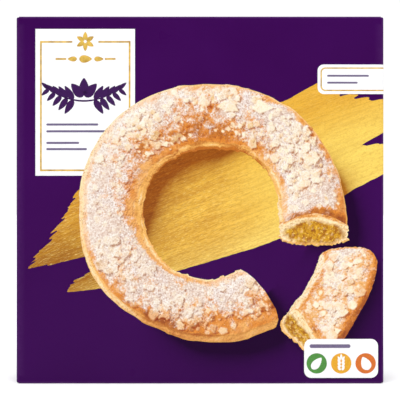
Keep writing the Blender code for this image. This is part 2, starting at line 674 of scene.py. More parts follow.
def toward_light(angle):
    """1 where an upright side that faces outwards at an angle meets the light, and -1 where it turns away."""
    return np.cos(angle) * TO_LIGHT[0] + np.sin(angle) * TO_LIGHT[1]


def edge(angle, reaches, seed, crumbs):
    """An edge's distance from the ring's middle, with its waves and crumbs."""
    angle = np.asarray(angle, float)
    oval = curve(np.array(reaches)[:, None], (angle + math.tau / 12) / math.tau)[..., 0]
    waves = 0.6 * around(angle, 20, seed) + 0.5 * around(angle, 70, seed + 1)
    return oval + waves + crumbs * np.maximum(0.0, around(angle, 150, seed + 2) - 0.2)


def outer_edge(angle):
    return edge(angle, OUTER_REACHES, 1, 0.8)


def inner_edge(angle):
    return edge(angle, INNER_REACHES, 11, -1.6)


def ring_shares(x, z):
    """A place's angle on the ring, and its share across the ring from the hole."""
    angle = np.arctan2(z - RING_Z, x - RING_X)
    angle = np.where(angle < -0.5, angle + math.tau, angle)
    near, far = inner_edge(angle), outer_edge(angle)
    return angle, (np.hypot(x - RING_X, z - RING_Z) - near) / (far - near)


def in_ring(x, z):
    """Whether places lie on the pictured ring or its cut face."""
    angle, across = ring_shares(x, z)
    degrees = np.degrees(angle)
    in_turn = (degrees > -CUT_FACE_TURN) & (degrees < read_off(RING_ENDS, across))
    return in_turn & (across > 0) & (across < 1)


print("ring is", round(float(outer_edge(0.0) + outer_edge(math.pi))), "mm across in the picture")

# %% [markdown]
# The piece that was cut out lies beside the gap. Each of its edges is a smooth curve through a few points:
# its left foot, its right edge, the rim of its cut face and its far end. The cut face has a foot and a top
# of its own.

# %% Plan the loose piece
PIECE_FOOT = [
    (62.3, 50.5), (66.5, 57.5), (72.2, 63.2), (75.6, 69.9), (78.4, 74.6), (80.9, 79.3), (82.4, 83.6),
    (84, 87.5),
]
PIECE_RIGHT = [
    (95.5, 20), (101.6, 30.8), (107.4, 40.4), (113, 50), (117.9, 59), (121.6, 67.6), (124.3, 77), (125.4, 87)
]
PIECE_START = [
    (62.3, 50.5), (68.4, 53), (74.2, 49.6), (78.4, 43.4), (82.6, 37.2), (86.8, 31.2), (91, 25.4), (95.5, 20)
]
PIECE_END = [
    (84, 87.5), (86.4, 92.4), (93, 95.3), (101.2, 96.5), (108.6, 96.8), (115.6, 96.1), (121.6, 93.3),
    (125.4, 87),
]
FACE_FOOT = [
    (62.3, 50.5), (58.6, 46.8), (56.7, 41.4), (59.4, 36.6), (65, 31.6), (69.6, 27.4), (75.6, 20.8), (84, 13)
]
FACE_TOP = [
    (62.8, 51), (68.8, 54), (74.8, 50), (79, 43.8), (83.2, 37.4), (87.4, 31.4), (91.6, 25.6), (96, 20)
]
piece_border = FACE_FOOT[::-1] + PIECE_FOOT[1:] + PIECE_END[1:] + PIECE_RIGHT[-2::-1]


def in_piece(x, z):
    """Whether places lie on the loose piece, by counting the borders to their right."""
    crossings = np.zeros(np.shape(x), int)
    for (x1, z1), (x2, z2) in zip(piece_border, piece_border[1:] + piece_border[:1]):
        if z1 != z2:
            spans = (z1 > z) != (z2 > z)
            crossings += spans & (x < x1 + (z - z1) * (x2 - x1) / (z2 - z1))
    return crossings % 2 == 1


print("the loose piece has a border of", len(piece_border), "points")

# %% [markdown]
# ## The pictured shadow
# The pastry throws a soft shadow to its lower right, on the purple and on the gold alike. It is printed,
# so it must not move with the lamps: each point of the ground asks how much pastry lies towards the
# picture's light, at several distances, and keeps the answer as a painted field.

# %% Work out the printed shadow
SHADOW_REACH = 34.0
SHADOW_STEPS = 16
SHADOW_LEANS = (-0.5, -0.17, 0.17, 0.5)
PIECE_SHARE = 0.4  # the loose piece is lower than the ring, so it shades less


def printed_shadow(x, z):
    """0 in the open, towards 1 close under the pastry's edge. The ring's shaded sides throw most of it."""
    angle, across = ring_shares(x, z)
    ring_share = ease(toward_light(angle) * np.where(across < 0.5, 1, -1), 0.15, 0.75)
    covered, weight = np.zeros(np.shape(x)), 0.0
    for step in range(1, SHADOW_STEPS + 1):
        share = step / SHADOW_STEPS
        strength = (1.1 - share) ** 1.6
        for lean in SHADOW_LEANS:
            there_x = x + (TO_LIGHT[0] - TO_LIGHT[1] * lean) * share * SHADOW_REACH
            there_z = z + (TO_LIGHT[1] + TO_LIGHT[0] * lean) * share * SHADOW_REACH
            of_ring = ring_share * in_ring(there_x, there_z)
            covered += strength * np.maximum(of_ring, PIECE_SHARE * in_piece(there_x, there_z))
            weight += strength
    return covered / weight


print("shadow just inside the hole:", round(float(printed_shadow(np.array(-20.0), np.array(150.0))), 2))

# %% [markdown]
# ## Purple board
# The board is printed deep purple all over. The photograph shows it a little paler along each crease,
# which is painted here as partly stretched varnish and partly a painted highlight on the rounded folds.
# It is darker where the pictured pastry throws its shadow, and a painted shade darkens it slightly
# towards the bottom. The board's raw cut edges are off-white with faint layers.


# %% Mix the purple and the raw board
def printed_shade(strength, most):
    """The printed shadow as an amount of darker ink."""
    return calc("MINIMUM", times(painted("shadow"), strength), most)


def purple_ink():
    where = new_finish("purple_ink", specular=0.04)
    ground = coat(ink(61, 10, 84), ink(57, 7, 78), mottle(where, 0.012, 2.0), 0.3, 0.7)
    # Painted shade: the purple darkens slightly towards the bottom
    ground = coat(ground, ink(52, 7, 72), sides_of(where)[2], 150.0, 0.0, 0.5)
    ground = coat(ground, ink(84, 40, 106), mottle(where, 2.2, 3.0), 0.25, 0.75, 0.05)
    shaded = blend(printed_shade(2.3, 0.86), ground, ink(28, 3, 38))
    # Paler creases: partly worn varnish, partly a painted highlight where the rounded folds catch the light
    wear_and_sheen = soft_step(mottle(where, 0.35, 4.0, 0.7), 0.2, 0.75, 0.35, 1.0)
    worn = blend(times(times(painted("crease"), wear_and_sheen), 0.75), shaded, ink(104, 62, 122))
    return finish_ink(where, worn, gloss=0.3)


def raw_board():
    where = new_finish("raw_board", specular=0.2)
    fibres = mottle(mapped(where, Scale=(0.6, 0.6, 14.0)), 1.0, 4.0, 0.7)
    layers = blend(fibres, ink(196, 186, 170), ink(240, 234, 222))
    return finish_ink(where, layers, gloss=0.75, tooth=2.0, bump=0.05)


purple = purple_ink()
raw = raw_board()
print("purple ink has", len(purple.node_tree.nodes), "nodes")

# %% [markdown]
# A field painted on the board's points says how near a crease each point is, which holds round every
# edge. The purple reads it to pale its creases, with worn varnish and a painted highlight. Each face is
# then given its material by its place and by which way it looks.

# %% Finish the board
SQUARE_ON = 0.9  # a face whose normal goes this far along an axis looks that way
WEAR_AND_SHEEN_REACH = 1.4 * FOLD


def crease_nearness(point):
    """1 on a fold or corner, easing to 0 beside it."""
    gaps = sorted((WIDTH / 2 - abs(point.x), DEPTH / 2 - abs(point.y), min(point.z, HEIGHT - point.z)))
    return max(0.0, 1.0 - max(gaps[1], 0.0) / WEAR_AND_SHEEN_REACH)


def is_cut_edge(face):
    """Whether a face is raw board: a flap's cut sides and tip, or the wall of the glued seam."""
    middle, out = face.center, face.normal
    in_flap = middle.z > TUBE_TOP or middle.z < TUBE_FOOT
    on_tip = out.y > SQUARE_ON and middle.y < DEPTH / 2 - FLAP_TIP_GAP / 2
    by_seam = SEAM_BACK - SEAM_WIDTH - NEAR < middle.y < SEAM_BACK + NEAR
    in_seam = by_seam and middle.x < -WIDTH / 2 + SEAM_DEPTH + NEAR
    on_wall = abs(out.y) > SQUARE_ON or middle.x > -WIDTH / 2 + SEAM_DEPTH / 2
    return in_flap and (abs(out.x) > SQUARE_ON or on_tip) or in_seam and on_wall


spots = np.array([vertex.co for vertex in carton.data.vertices])
on_front = spots[:, 1] < -DEPTH / 2 + NEAR
add_field(carton, "crease", [crease_nearness(vertex.co) for vertex in carton.data.vertices])
add_field(carton, "shadow", on_front * printed_shadow(spots[:, 0] / MM, spots[:, 2] / MM))
finish_piece(carton, purple, raw)
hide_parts("carton")
for face in carton.data.polygons:
    face.material_index = int(is_cut_edge(face))
print("raw board shows on", sum(face.material_index for face in carton.data.polygons), "faces")

# %% [markdown]
# ## The printed shadow on the purple
# The board's own cells are too large for a shadow's soft edge. So a film of the same purple ink, in finer
# cells, lies over the middle of the front and carries the shadow. Both read their mottling from the same
# places, so the film's border can't be seen.

# %% Lay the shadowed purple
SHADOW_FILM = (-100.0, 128.5), (2.0, 214.0)
SHADOW_CELL = 1.8

film_cells = [math.ceil((end - start) / SHADOW_CELL) for start, end in SHADOW_FILM]
film_x, film_z = spread(*film_cells, *SHADOW_FILM)
lay(strip("shadow_film", film_x, film_z, shadow=printed_shadow(film_x, film_z)), SHADE, purple, cut=False)
print("shadow film:", film_x.size, "points")

# %% [markdown]
# ## The gold stroke
# Behind the pastry lies a broad stroke of gold, as from a dry brush, that rises to the right and runs on
# round the right-hand crease. A brush leaves tracks: each bristle starts and stops at its own place, which
# is what makes the ends ragged. So the stroke is a band of narrow tracks between a lower and an upper
# curve, and each track gets its own two ends.

# %% Draw the gold stroke
# The stroke's lower and upper edge, by the place from left to right
STROKE_LOW = {-132: 58, -99: 64, -70: 67.5, -15: 80, 40: 96.5, 60: 104, 108: 137, 160: 164}
STROKE_HIGH = {-132: 101, -86: 137, -36: 165, 14: 183, 62: 201, 83: 213, 106: 225, 160: 246}
# Where a track starts and ends, by its share of the way up the stroke
TRACK_STARTS = {
    0: -93, 0.1: -89, 0.19: -73, 0.31: -71, 0.35: -103, 0.44: -120, 0.55: -117, 0.66: -106, 0.75: -104,
    0.8: -97, 0.9: -92, 1: -86,
}
TRACK_ENDS = {
    0: 147, 0.21: 151, 0.24: 130, 0.286: 123, 0.33: 115.5, 0.342: 130, 0.36: 152, 0.58: 148, 0.61: 131,
    0.65: 123, 0.7: 116, 0.76: 108, 0.8: 100, 1: 96,
}
TRACKS = 130
TRACK_STEPS = 110
RAGGED = 9

steps, tracks = spread(TRACK_STEPS, TRACKS)
bristle = 0.6 * cloud(tracks * TRACKS, 0.5, 1.6, 40) + 0.4 * cloud(tracks * TRACKS, 0.5, 5.0, 41) - 0.5
track_start = read_off(TRACK_STARTS, tracks) + RAGGED * bristle
track_end = read_off(TRACK_ENDS, tracks) - RAGGED * bristle
stroke_x = track_start + (track_end - track_start) * steps
wavy_edge = 0.5 * (cloud(stroke_x, 0.5, 2.2, 42) - 0.5) * (np.abs(tracks - 0.5) > 0.499)
foot, head = read_off(STROKE_LOW, stroke_x), read_off(STROKE_HIGH, stroke_x)
stroke_z = foot + (head - foot) * tracks + wavy_edge
print("gold stroke:", TRACKS, "tracks")

# %% [markdown]
# Its ink is gold with streaks along the tracks: broad ones, tracks and fine scratches that darken it, and
# glints. It is deepest at the left, where the brush was driest, and brightest at the lower right.

# %% Mix the gold
STROKE_SLOPE = 21


def gold_ink():
    where = new_finish("gold_ink", specular=0.2)
    turned = mapped(where, Rotation=(0, math.radians(STROKE_SLOPE), 0))
    along, _, up = sides_of(turned)

    def streaks(lumps_along, lumps_across, start, end, strength, detail=3.0):
        stretched = mapped(turned, Scale=(lumps_along, 1.0, lumps_across))
        drawn = soft_step(mottle(stretched, 1.0, detail, 0.6), start, end, 0.0, strength)
        return times(drawn, dryness)

    tone = coat(ink(178, 121, 28), ink(246, 198, 80), along, -80.0, 50.0)
    tone = coat(tone, ink(255, 222, 106), along, 40.0, 150.0)
    tone = coat(tone, ink(236, 178, 56), up, 112.0, 158.0, 0.9)
    tone = coat(tone, ink(255, 228, 124), up, 100.0, 74.0, 0.7)
    dark = tinted(tone, ink(210, 180, 140))
    dryness = soft_step(along, 30.0, 110.0, 1.0, 0.34)
    gold = blend(streaks(0.012, 0.1, 0.36, 0.68, 0.4, detail=2.0), tone, dark)
    gold = blend(streaks(0.05, 0.7, 0.58, 0.36, 0.6), gold, dark)
    gold = blend(streaks(0.22, 2.4, 0.56, 0.3, 0.9), gold, dark)
    gold = coat(gold, dark, mottle(where, 0.9, 3.0), 0.5, 0.7, 0.35)
    shade = printed_shade(1.9, 1.0)
    gold = blend(shade, gold, tinted(gold, ink(170, 120, 50)))
    glint = blend(shade, ink(255, 238, 156), ink(200, 142, 60))
    gold = blend(streaks(0.3, 3.0, 0.52, 0.75, 0.7), gold, glint)
    return finish_ink(where, gold, gloss=0.36, tooth=1.5)


gold = gold_ink()
stroke = strip("gold_stroke", stroke_x, stroke_z, shadow=printed_shadow(stroke_x, stroke_z))
cut_square(stroke, 0, crease_cuts(-WIDTH, WIDTH))
lay(stroke, STROKE, gold, cut=False)
print("gold stroke:", len(stroke.data.polygons), "faces")

# %% [markdown]
# ## Plain inks
# Labels, rules and small ornaments are printed in single inks. Even these aren't quite flat: white ink
# shows a trace of the board's tooth, and gold lines glint unevenly. One recipe with two close colours
# makes them all.


# %% Mix the plain inks
def plain_ink(name, first, second, lumps=1.2):
    where = new_finish(name)
    mixed = coat(ink(*first), ink(*second), mottle(where, lumps, 4.0, 0.6), 0.3, 0.7)
    return finish_ink(where, mixed, gloss=0.34)


white_ink = plain_ink("white_ink", (254, 254, 254), (250, 250, 252))
fine_gold = plain_ink("fine_gold_ink", (236, 196, 90), (186, 146, 62), 0.25)
purple_line = plain_ink("purple_line_ink", (62, 18, 86), (54, 14, 76))
grey_line = plain_ink("grey_line_ink", (120, 108, 140), (106, 94, 128))
print("plain inks mixed")

# %% [markdown]
# ## The white labels
# A tall label stands at the upper left, a small one runs off round the right-hand crease, and a third sits
# at the lower right. Each is a plate of white ink, and the first two have a thin gold line inside their
# border. The tall label's line is open in the middle of its top.

# %% Lay the labels
FRAME_GAP = (-90.4 * MM, -71.9 * MM)
LABEL_MIDDLE = 200 * MM

lay(plate("tall_label", -116.5, 147.2, -46.0, 251.1), LABEL, white_ink)
tall_frame = outline("tall_label_frame", -113.2, 150.4, -49.2, 242.5, 1.2)
cut_square(tall_frame, 0, FRAME_GAP)


def in_frame_gap(face):
    return FRAME_GAP[0] < face.center.x < FRAME_GAP[1] and face.center.y > LABEL_MIDDLE


with editing(tall_frame, "polygons", in_frame_gap):
    bpy.ops.mesh.delete(type="FACE")
lay(tall_frame, LINE, fine_gold)

lay(plate("side_label", 83.2, 205.0, 152.0, 225.9, 4.4), LABEL, white_ink)
lay(outline("side_label_frame", 85.3, 207.1, 149.9, 223.8, 0.9, 3.4), LINE, fine_gold)
lay(plate("corner_label", 73.7, 4.1, 126.0, 31.7, 5.0), SIGN_LABEL, white_ink)
print("labels laid")

# %% [markdown]
# ## Ornaments in place of words
# The labels of a real carton carry words. This one has ornaments of the same weight instead: a rosette of
# almonds in the gap of the frame, a divider, a leafy sprig, and plain rules where small lines would be.


# %% Draw almonds and rules
def almond(name, x, z, length, width, turn=0.0):
    """An almond shape, round at its base and pointed at its tip."""
    cosine, sine = math.cos(turn), math.sin(turn)

    def rim(angle):
        along = math.cos(angle) * length / 2
        across = math.sin(angle) * width / 2 * (1 - 0.38 * math.cos(angle)) * abs(math.sin(angle)) ** 0.25
        return x + along * cosine - across * sine, z + along * sine + across * cosine

    return blob(name, 20, rim)


def rule(name, left, right, middle, width, finish, layer=LINE):
    """A thin line with round ends."""
    half = width / 2
    return lay(plate(name, left, middle - half, right, middle + half, half * 0.9), layer, finish)


def join(name, parts):
    """Makes several flat shapes one piece."""
    select_only()
    for part in parts:
        part.select_set(True)
    bpy.context.view_layer.objects.active = parts[0]
    if len(parts) > 1:
        bpy.ops.object.join()
    return named(name)


def rosette(name, x, z, reach):
    """Six almonds about a middle, tips outwards."""
    petals = []
    for step in range(6):
        turn = math.tau * step / 6 + math.pi / 2
        spot = x + reach * math.cos(turn), z + reach * math.sin(turn)
        petals.append(almond(name, *spot, reach * 1.5, reach * 0.8, turn))
    return join(name, petals)


lay(rosette("label_rosette", -81.2, 242.2, 3.9), LINE, fine_gold)

DIVIDER_X, DIVIDER_Z = -81.0, 229.8
divider = [almond("divider_almond", DIVIDER_X, DIVIDER_Z, 9.0, 5.2)]
for side, turn in ((-1, math.pi), (1, 0.0)):
    divider.append(almond("divider_seed", DIVIDER_X + side * 9.4, DIVIDER_Z, 6.6, 3.4, turn))
lay(join("label_divider", divider), LINE, fine_gold)
rule("divider_rule_left", -102.3, -94.6, DIVIDER_Z, 1.3, fine_gold)
rule("divider_rule_right", -67.4, -59.7, DIVIDER_Z, 1.3, fine_gold)
print("divider laid")

# %% [markdown]
# The sprig is one stem with pairs of leaves that shorten towards its tips, and three almonds in its
# middle. It is mirrored, as ornaments on labels often are.

# %% Draw the leafy sprig
SPRIG_X, SPRIG_Z = -82.1, 205.6
SPRIG_HALF = 25.5
LEAF_PAIRS = 5
ALMOND_REACH = 7.2


def stem_height(distance):
    """A stem that dips in the middle and rises towards its tips."""
    share = distance / SPRIG_HALF
    return SPRIG_Z - 5.5 + 9.0 * share**2


def mirrored(turn, side):
    return turn if side > 0 else math.pi - turn


stem_along, stem_across = spread(36, 2, (-1, 1), (-0.5, 0.5))
stem_thick = 1.3 - 0.7 * np.abs(stem_along)
stem_z = stem_height(stem_along * SPRIG_HALF) + stem_thick * stem_across
sprig = [strip("sprig_stem", SPRIG_X + stem_along * SPRIG_HALF, stem_z)]
for side in (-1, 1):
    for step in range(LEAF_PAIRS):
        distance = side * (7.5 + step * 4.3)
        size = 11.6 - step * 1.15
        for up in (-1, 1):
            turn = mirrored(up * (1.02 - 0.08 * step), side)
            x = SPRIG_X + distance + math.cos(turn) * size / 2
            z = stem_height(distance) + math.sin(turn) * size / 2
            sprig.append(almond("sprig_leaf", x, z, size, size * 0.4, turn))
    tip_x, tip_z = SPRIG_X + side * (SPRIG_HALF + 1.6), stem_height(SPRIG_HALF) + 1.2
    sprig.append(almond("sprig_tip", tip_x, tip_z, 5.4, 2.2, mirrored(math.radians(32), side)))
for degrees, lift in ((90, 1.86), (132, 1.2), (48, 1.2)):
    turn = math.radians(degrees)
    x = SPRIG_X + math.cos(turn) * ALMOND_REACH
    z = SPRIG_Z - 4.5 + math.sin(turn) * ALMOND_REACH + lift
    sprig.append(almond("sprig_almond", x, z, 12.4, 6.8, turn))
lay(join("label_sprig", sprig), LINE, purple_line)
print("sprig laid")

# %% [markdown]
# Plain rules stand where small lines of words would be, and three round signs sit in the corner label: a
# leaf, an ear of grain and an almond, each in its own ink.

# %% Draw the label's rules and the corner signs
LABEL_RULES = [(-72.0, 183.4), (-66.5, 178.6), (-85.5, 170.4), (-80.0, 166.0)]
SIDE_RULES = [(119.5, 217.9), (111.5, 213.0)]
SIGN_Z, SIGN_RADIUS = 14.4, 7.2
# Each mark has its place from the sign's middle, its length, its width and its turn in degrees
GRAINS = [(side * 1.5, step * 2.3 - 3.4, 3.6, 1.7, 90 - side * 32) for step in range(4) for side in (-1, 1)]
SIGNS = [
    ("leaf", 82.6, "leaf_green_ink", (84, 150, 66), (70, 136, 58), [(0, 0, 10.4, 5.6, 50)]),
    ("grain", 99.9, "grain_yellow_ink", (238, 176, 42), (226, 162, 34), GRAINS + [(0, 5, 3.4, 1.6, 90)]),
    ("almond", 117.2, "almond_orange_ink", (222, 118, 40), (208, 104, 34), [(0, 0, 10.0, 6.8, 115)]),
]


def sign_rim(middle):
    """The rule of a blob: the rim of a round sign, whose middle is so far to the right."""
    return lambda angle: (middle + SIGN_RADIUS * math.cos(angle), SIGN_Z + SIGN_RADIUS * math.sin(angle))


for number, (right, middle) in enumerate(LABEL_RULES):
    rule(f"label_rule_{number}", -108.7, right, middle, 1.5, grey_line)
for number, (right, middle) in enumerate(SIDE_RULES):
    rule(f"side_label_rule_{number}", 90.0, right, middle, 1.3, grey_line)
rule("corner_label_rule", 77.6, 106.4, 26.6, 2.6, grey_line, layer=SIGN)
for sign, x, ink_name, first_colour, second_colour, marks in SIGNS:
    finish = plain_ink(ink_name, first_colour, second_colour)
    lay(blob(f"sign_{sign}_disc", 40, sign_rim(x)), SIGN, finish, cut=False)
    name = f"sign_{sign}_mark"
    parts = []
    for right, up, length, width, degrees in marks:
        turn = math.radians(degrees)
        parts.append(almond(name, x + right, SIGN_Z + up, length, width, turn))
    lay(join(name, parts), SIGN_MARK, white_ink, cut=False)
print("rules and corner signs laid")

# %% [markdown]
# ## The other faces
# Small print usually stands on the back, so a white panel there holds a frame, a rosette, and plain rules
# where paragraphs and a table would be. Its rules end unevenly, as lines of words do. The narrow sides and
# the top stay purple, with thin gold rules, and a small rosette on the left side and the top.

# %% Print the back, the sides and the top
BACK = BACK_MIDDLE / MM
SIDE = (HALF_FLAT + FOLD_ARC + SIDE_FLAT / 2) / MM
TOP = HEIGHT / MM
LINE_STEP = 4.6
TABLE_TOP, TABLE_ROW, TABLE_ROWS = 186, 10, 12
TABLE_FOOT = TABLE_TOP - TABLE_ROW * TABLE_ROWS


def paragraph(name, left, right, top, lines, seed):
    """Plain rules of uneven length, one below the other."""
    draw = np.random.default_rng(seed)
    rows = []
    for line in range(lines):
        middle = top - line * LINE_STEP
        end = right - (right - left) * draw.uniform(0.0, 0.12 if line < lines - 1 else 0.6)
        rows.append(plate(name, left, middle - 0.6, end, middle + 0.6, 0.5))
    lay(join(name, rows), LINE, grey_line)


lay(plate("back_label", BACK - 104, 26, BACK + 104, 234), LABEL, white_ink)
lay(outline("back_label_frame", BACK - 99, 31, BACK + 99, 229, 1.2), LINE, fine_gold)
lay(rosette("back_rosette", BACK, 210, 6.5), LINE, fine_gold)
for side in (-1, 1):
    rule("back_rosette_rule", BACK + side * 30 - 14, BACK + side * 30 + 14, 210, 1.0, fine_gold)
paragraph("back_heading", BACK - 88, BACK - 28, 186, 1, 501)
paragraph("back_paragraph_upper", BACK - 88, BACK - 6, 176, 11, 502)
paragraph("back_paragraph_lower", BACK - 88, BACK - 6, 114, 9, 503)
table = [outline("back_table", BACK + 8, TABLE_FOOT, BACK + 88, TABLE_TOP, 0.8)]
for row in range(1, TABLE_ROWS):
    line = TABLE_TOP - row * TABLE_ROW
    table.append(plate("table_line", BACK + 8, line - 0.25, BACK + 88, line + 0.25))
table.append(plate("table_line", BACK + 57, TABLE_FOOT, BACK + 57.6, TABLE_TOP))
lay(join("back_table", table), LINE, purple_line)
for row in range(TABLE_ROWS):
    middle = TABLE_TOP - (row + 0.5) * TABLE_ROW
    paragraph("back_table_row", BACK + 12, BACK + 48, middle, 1, 510 + row)
    paragraph("back_table_amount", BACK + 64, BACK + 80, middle, 1, 530 + row)
for side in (-1, 1):
    for z in (14, TOP - 14):
        rule("side_rule", side * SIDE - 17, side * SIDE + 17, z, 0.9, fine_gold)
lay(rosette("left_side_rosette", -SIDE, TOP / 2, 5.5), LINE, fine_gold)


def lay_on_top(piece, layer, finish):
    """Puts a flat shape, drawn from the top's middle, on the upper end flap."""
    for vertex in piece.data.vertices:
        vertex.co.z = HEIGHT + layer * FILM
    apply_modifier(piece, "SOLIDIFY", thickness=FILM_DEPTH, offset=-1)
    return finish_piece(piece, finish)


lay_on_top(rosette("top_rosette", 0, 0, 5.5), STROKE, fine_gold)
for side in (-1, 1):
    lay_on_top(plate("top_rule", side * 62 - 44, -0.45, side * 62 + 44, 0.45, 0.4), STROKE, fine_gold)
print("other faces printed")

# %% [markdown]
# ## Relief for the picture
# The pastry is a picture, so its light and shade are in its inks. To get them right, the picture is first
# worked out as a low relief: a height in millimetres for each point of a fine grid. Lumps, layers and
# flakes raise it. From the heights follow two fields: how squarely each point faces the picture's light,
# and whether something higher stands between the two. Real relief would be wrong here, since the carton's
# front is flat, and a noise texture alone gives no flakes with shadows beside them.

# %% Light the relief
SHADOW_FALL = 0.5  # millimetres that a shadow's edge drops for each millimetre away from its flake
FULL_SHADE = 0.6  # how far below that edge a point lies in full shade


def fall_of_light(height, x, z):
    """How much a relief faces the picture's light, and how deep each point lies in a cast shadow."""
    (x_i, x_j), (z_i, z_j) = np.gradient(x), np.gradient(z)
    turn = x_i * z_j - x_j * z_i
    turn = np.where(np.abs(turn) < 1e-4, 1e-4, turn)
    step_i = (TO_LIGHT[0] * z_j - TO_LIGHT[1] * x_j) / turn
    step_j = (TO_LIGHT[1] * x_i - TO_LIGHT[0] * z_i) / turn
    height_i, height_j = np.gradient(height)
    faces = -(height_i * step_i + height_j * step_j)
    rows, columns = np.indices(height.shape)
    shade = np.zeros(height.shape)
    for away in (0.5, 1.0, 1.6, 2.3, 3.2):
        i = np.clip(np.rint(rows + step_i * away), 0, height.shape[0] - 1).astype(int)
        j = np.clip(np.rint(columns + step_j * away), 0, height.shape[1] - 1).astype(int)
        shade = np.maximum(shade, height[i, j] - height - away * SHADOW_FALL)
    return np.clip(faces, -1, 1), np.clip(shade / FULL_SHADE, 0, 1)


print("the picture's light comes from", TO_LIGHT)

# %% [markdown]
# A flake is a thin plate with a broken outline that lies a little tilted on whatever is below it. Flakes
# fall where the baker's hand was: a wish field says how likely each spot is.


# %% Scatter almond flakes
FLAKE_THICK = 0.22  # millimetres that even the smallest flake is thick
FLAKE_THICKENS = 0.055  # millimetres more for each millimetre of its size
FLAKE_LEAN = 0.11


def drop_flake(height, flakes, toasted, x, z, spot, size, draw):
    """Lays one flake of a size in millimetres on the relief."""
    i, j = spot
    reach_i, reach_j = math.ceil(size / 0.7), math.ceil(size / 0.9)
    window = slice(max(0, i - reach_i), i + reach_i + 1), slice(max(0, j - reach_j), j + reach_j + 1)
    from_x, from_z = x[window] - x[i, j], z[window] - z[i, j]
    sides = draw.integers(4, 9)
    turns = (np.arange(sides) + draw.uniform(-0.3, 0.3, sides) + draw.random()) * math.tau / sides
    reaches = draw.uniform(0.55, 1.0, sides) * size / 2
    inside = np.ones(from_x.shape)
    for turn, reach in zip(turns, reaches):
        from_side = reach - from_x * math.cos(turn) - from_z * math.sin(turn)
        inside = np.minimum(inside, np.clip(from_side / 0.6 + 0.5, 0, 1))
    thick = FLAKE_THICK + FLAKE_THICKENS * size
    lean_x, lean_z = draw.uniform(-FLAKE_LEAN, FLAKE_LEAN, 2)
    under = height[window]
    rise = np.clip(height[i, j] + thick + lean_x * from_x + lean_z * from_z - under, 0, None) * inside
    height[window] = under + rise
    shows = rise > 0.05
    tone = draw.uniform(0.6, 1.0)
    fresh = np.maximum(flakes[window] * (1 - inside), inside * tone)
    flakes[window] = np.where(shows, fresh, flakes[window])
    toasted[window] = np.where(shows, draw.random() ** 2.8, toasted[window])


def scatter(height, x, z, wish, lots, seed):
    """Drops lots of flakes, each how many, from what size, to what size. Returns where, and how toasted."""
    draw = np.random.default_rng(seed)
    flakes, toasted = np.zeros(x.shape), np.zeros(x.shape)
    (x_i, x_j), (z_i, z_j) = np.gradient(x), np.gradient(z)
    chance = np.abs(x_i * z_j - x_j * z_i) * wish
    chance /= chance.sum()
    for count, smallest, largest in lots:
        for pick in draw.choice(chance.size, count, p=chance.ravel()):
            size = smallest + (largest - smallest) * draw.random() ** 1.6
            drop_flake(height, flakes, toasted, x, z, divmod(int(pick), height.shape[1]), size, draw)
    return flakes, toasted


print(f"a flake 5 mm across is {FLAKE_THICK + 5 * FLAKE_THICKENS:.2f} mm thick")

# %% [markdown]
# ## The pastry's inks
# One ink recipe prints all of the pastry. Fields on its points say how much of each thing shows there:
# dough or baked crust, how browned it is, powdered sugar, flaked almond, almond filling, and the light.
# The recipe adds what is finer than the points: the grain of the sugar, the mottling of the crust, and the
# small hollows and peaks of the dust.

# %% Mix the pastry's inks
FIELDS = ("dough", "browned", "sugar", "almond", "filling")
FACES_SHARE, SHADE_SHARE = 0.54, 0.36  # how much the relief's slopes and shadows change the light


def pastry_inks():
    where = new_finish("pastry_inks")
    grain = mottle(where, 0.8, 3.0, 0.6)
    specks = calc("SUBTRACT", grain, 0.5)
    browned = calc("ADD", painted("browned"), times(specks, 0.6))
    crust = coat(ink(244, 184, 108), ink(228, 142, 50), browned, 0.0, 0.5)
    crust = coat(crust, ink(164, 82, 20), browned, 0.45, 1.05)
    dough = coat(ink(254, 229, 180), ink(246, 188, 100), browned, 0.0, 0.5)
    dough = coat(dough, ink(198, 112, 26), browned, 0.45, 1.0)
    colour = blend(painted("dough"), crust, dough)
    cover = calc("ADD", painted("sugar"), times(specks, 1.2))
    covered = soft_step(cover, 0.1, 0.85)
    sugar = coat(ink(214, 180, 158), ink(253, 241, 231), grain, 0.3, 0.68)
    sugar = coat(ink(240, 200, 156), sugar, cover, 0.15, 0.65)
    sugar = coat(sugar, ink(246, 238, 240), mottle(where, 0.1, 3.0, 0.6), 0.48, 0.62, 0.45)
    sugar = coat(sugar, ink(224, 192, 170), mottle(where, 0.2, 2.0, 0.6), 0.54, 0.36, 0.5)
    colour = blend(covered, colour, sugar)
    flake = coat(ink(255, 243, 213), ink(238, 194, 122), browned, 0.0, 1.0)
    flake = coat(flake, ink(252, 243, 230), grain, 0.46, 0.7, 0.5)
    colour = blend(painted("almond"), colour, flake)
    paste = coat(ink(170, 102, 0), ink(218, 160, 20), mottle(where, 0.3, 4.0, 0.75), 0.4, 0.58)
    paste = coat(paste, ink(250, 216, 96), mottle(where, 0.7, 1.0), 0.55, 0.75, 0.9)
    colour = blend(painted("filling"), colour, paste)
    shade_ink = blend(covered, ink(198, 142, 92), ink(200, 160, 134))
    colour = coat(colour, tinted(colour, shade_ink), painted("lit"), 0.6, 0.0)
    bright = blend(painted("filling"), ink(255, 250, 240), ink(252, 222, 96))
    colour = coat(colour, bright, painted("lit"), 0.62, 1.05, 0.6)
    dust = mottle(where, 1.1, 2.0, 0.7)
    off_flakes = calc("SUBTRACT", 1.0, times(painted("almond"), 0.6))
    busy = times(soft_step(mottle(where, 0.1, 2.0), 0.4, 0.62, 0.35, 1.0), off_flakes)
    hollow_ink = blend(covered, ink(200, 152, 96), ink(202, 168, 144))
    hollows = times(busy, soft_step(dust, 0.5, 0.34, 0.0, 0.75))
    colour = blend(hollows, colour, tinted(colour, hollow_ink))
    peaks = times(covered, soft_step(dust, 0.5, 0.66, 0.0, 0.5))
    return finish_ink(where, blend(peaks, colour, ink(255, 250, 242)), gloss=0.36)


pastry = pastry_inks()
print("pastry inks have", len(pastry.node_tree.nodes), "nodes")


